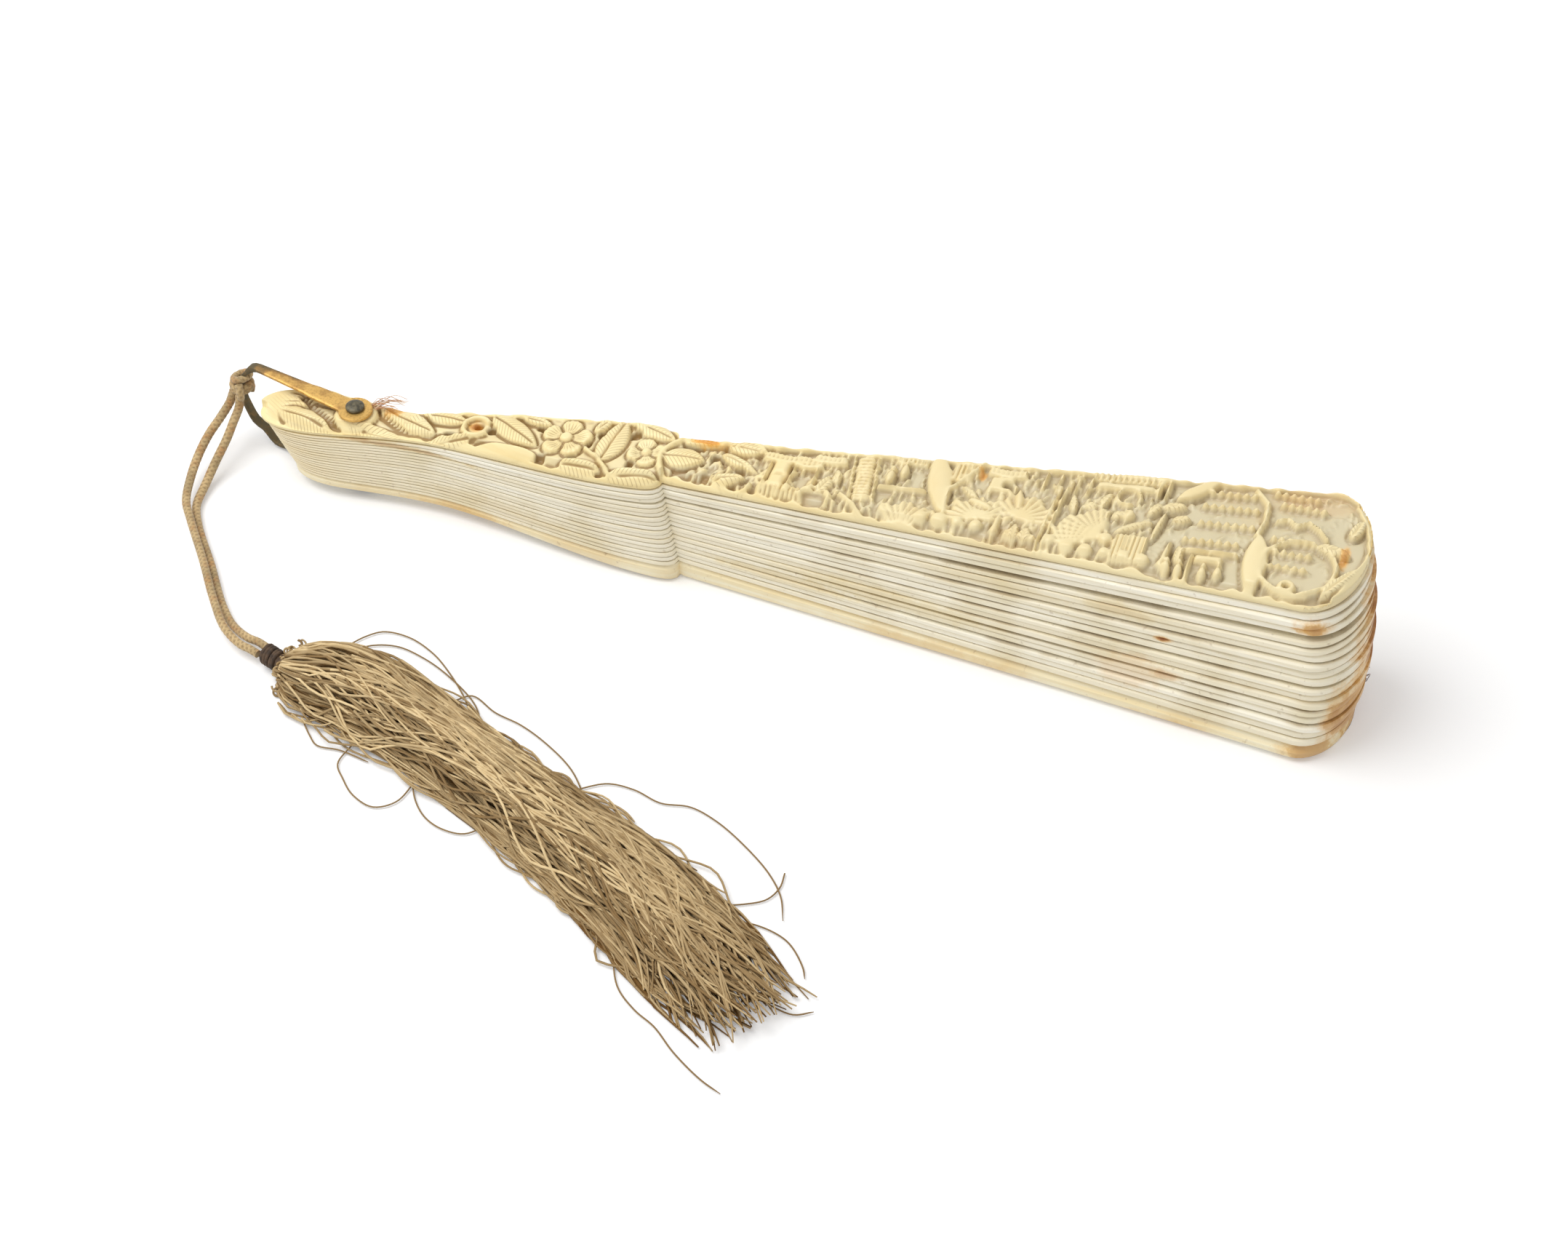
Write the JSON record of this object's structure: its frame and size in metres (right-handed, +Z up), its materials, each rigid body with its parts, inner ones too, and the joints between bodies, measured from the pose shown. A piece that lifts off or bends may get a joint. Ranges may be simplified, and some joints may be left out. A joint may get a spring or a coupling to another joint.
{
  "type": "brise fan",
  "caption": "Folded brise fan of carved bone, with a gilt brass bail on its rivet and a braided cord and tan tassel",
  "frame": {"origin": "on the rivet axis, at the table that the closed fan lies on", "axes": "+X from the rivet to the head of the closed fan, +Y across the blades away from the tassel, +Z up through the stack"},
  "size_m": [0.2084, 0.1125, 0.0365],
  "materials": {
    "carved_bone": "satin, carved, yellowed bone",
    "stick_bone": "satin, sawn and polished bone",
    "gilt_brass": "worn gilt",
    "dark_rivet": "dark tarnish",
    "tan_cord": "braided",
    "dark_thread": "wound thread",
    "tassel_thread": "loose thread"
  },
  "bodies": {
    "back_guard": {"back_guard": "carved_bone", "rivet": "dark_rivet"},
    "stick_01": {"stick_01": "stick_bone"},
    "stick_02": {"stick_02": "stick_bone"},
    "stick_03": {"stick_03": "stick_bone"},
    "stick_04": {"stick_04": "stick_bone"},
    "stick_05": {"stick_05": "stick_bone"},
    "stick_06": {"stick_06": "stick_bone"},
    "stick_07": {"stick_07": "stick_bone"},
    "stick_08": {"stick_08": "stick_bone"},
    "stick_09": {"stick_09": "stick_bone"},
    "stick_10": {"stick_10": "stick_bone"},
    "stick_11": {"stick_11": "stick_bone"},
    "stick_12": {"stick_12": "stick_bone"},
    "stick_13": {"stick_13": "stick_bone"},
    "stick_14": {"stick_14": "stick_bone"},
    "stick_15": {"stick_15": "stick_bone"},
    "stick_16": {"stick_16": "stick_bone"},
    "stick_17": {"stick_17": "stick_bone"},
    "front_guard": {"front_guard": "carved_bone"},
    "bail": {"bail": "gilt_brass"},
    "tassel_and_cord": {"hitch_knot": "tan_cord", "cord_strand_a": "tan_cord", "cord_strand_b": "tan_cord", "tassel_binding": "dark_thread", "tassel": "tassel_thread"}
  },
  "joints": [
    {"name": "fan_spread", "type": "hinge", "parent": "back_guard", "child": "front_guard", "pos_m": [0, 0, 0], "axis": [0, 0, 1], "range_deg": [0, 126]},
    {"name": "stick_01_turn", "type": "hinge", "parent": "back_guard", "child": "stick_01", "pos_m": [0, 0, 0], "axis": [0, 0, 1], "range_deg": [0, 7]},
    {"name": "stick_02_turn", "type": "hinge", "parent": "back_guard", "child": "stick_02", "pos_m": [0, 0, 0], "axis": [0, 0, 1], "range_deg": [0, 14]},
    {"name": "stick_03_turn", "type": "hinge", "parent": "back_guard", "child": "stick_03", "pos_m": [0, 0, 0], "axis": [0, 0, 1], "range_deg": [0, 21]},
    {"name": "stick_04_turn", "type": "hinge", "parent": "back_guard", "child": "stick_04", "pos_m": [0, 0, 0], "axis": [0, 0, 1], "range_deg": [0, 28]},
    {"name": "stick_05_turn", "type": "hinge", "parent": "back_guard", "child": "stick_05", "pos_m": [0, 0, 0], "axis": [0, 0, 1], "range_deg": [0, 35]},
    {"name": "stick_06_turn", "type": "hinge", "parent": "back_guard", "child": "stick_06", "pos_m": [0, 0, 0], "axis": [0, 0, 1], "range_deg": [0, 42]},
    {"name": "stick_07_turn", "type": "hinge", "parent": "back_guard", "child": "stick_07", "pos_m": [0, 0, 0], "axis": [0, 0, 1], "range_deg": [0, 49]},
    {"name": "stick_08_turn", "type": "hinge", "parent": "back_guard", "child": "stick_08", "pos_m": [0, 0, 0], "axis": [0, 0, 1], "range_deg": [0, 56]},
    {"name": "stick_09_turn", "type": "hinge", "parent": "back_guard", "child": "stick_09", "pos_m": [0, 0, 0], "axis": [0, 0, 1], "range_deg": [0, 63]},
    {"name": "stick_10_turn", "type": "hinge", "parent": "back_guard", "child": "stick_10", "pos_m": [0, 0, 0], "axis": [0, 0, 1], "range_deg": [0, 70]},
    {"name": "stick_11_turn", "type": "hinge", "parent": "back_guard", "child": "stick_11", "pos_m": [0, 0, 0], "axis": [0, 0, 1], "range_deg": [0, 77]},
    {"name": "stick_12_turn", "type": "hinge", "parent": "back_guard", "child": "stick_12", "pos_m": [0, 0, 0], "axis": [0, 0, 1], "range_deg": [0, 84]},
    {"name": "stick_13_turn", "type": "hinge", "parent": "back_guard", "child": "stick_13", "pos_m": [0, 0, 0], "axis": [0, 0, 1], "range_deg": [0, 91]},
    {"name": "stick_14_turn", "type": "hinge", "parent": "back_guard", "child": "stick_14", "pos_m": [0, 0, 0], "axis": [0, 0, 1], "range_deg": [0, 98]},
    {"name": "stick_15_turn", "type": "hinge", "parent": "back_guard", "child": "stick_15", "pos_m": [0, 0, 0], "axis": [0, 0, 1], "range_deg": [0, 105]},
    {"name": "stick_16_turn", "type": "hinge", "parent": "back_guard", "child": "stick_16", "pos_m": [0, 0, 0], "axis": [0, 0, 1], "range_deg": [0, 112]},
    {"name": "stick_17_turn", "type": "hinge", "parent": "back_guard", "child": "stick_17", "pos_m": [0, 0, 0], "axis": [0, 0, 1], "range_deg": [0, 119]},
    {"name": "bail_swivel", "type": "hinge", "parent": "back_guard", "child": "bail", "pos_m": [0, 0, 0], "axis": [0, 0, 1], "range_deg": [-5, 20]},
    {"name": "tassel_swing", "type": "hinge", "parent": "bail", "child": "tassel_and_cord", "pos_m": [-0.02553, 0.00589, 0.012], "axis": [0, 0, 1], "range_deg": [-60, 5]}
  ],
  "couplings": [
    {"joint": "stick_01_turn", "follows": "fan_spread", "ratio": 0.055556},
    {"joint": "stick_02_turn", "follows": "fan_spread", "ratio": 0.11111},
    {"joint": "stick_03_turn", "follows": "fan_spread", "ratio": 0.16667},
    {"joint": "stick_04_turn", "follows": "fan_spread", "ratio": 0.22222},
    {"joint": "stick_05_turn", "follows": "fan_spread", "ratio": 0.27778},
    {"joint": "stick_06_turn", "follows": "fan_spread", "ratio": 0.33333},
    {"joint": "stick_07_turn", "follows": "fan_spread", "ratio": 0.38889},
    {"joint": "stick_08_turn", "follows": "fan_spread", "ratio": 0.44444},
    {"joint": "stick_09_turn", "follows": "fan_spread", "ratio": 0.5},
    {"joint": "stick_10_turn", "follows": "fan_spread", "ratio": 0.55556},
    {"joint": "stick_11_turn", "follows": "fan_spread", "ratio": 0.61111},
    {"joint": "stick_12_turn", "follows": "fan_spread", "ratio": 0.66667},
    {"joint": "stick_13_turn", "follows": "fan_spread", "ratio": 0.72222},
    {"joint": "stick_14_turn", "follows": "fan_spread", "ratio": 0.77778},
    {"joint": "stick_15_turn", "follows": "fan_spread", "ratio": 0.83333},
    {"joint": "stick_16_turn", "follows": "fan_spread", "ratio": 0.88889},
    {"joint": "stick_17_turn", "follows": "fan_spread", "ratio": 0.94444}
  ]
}
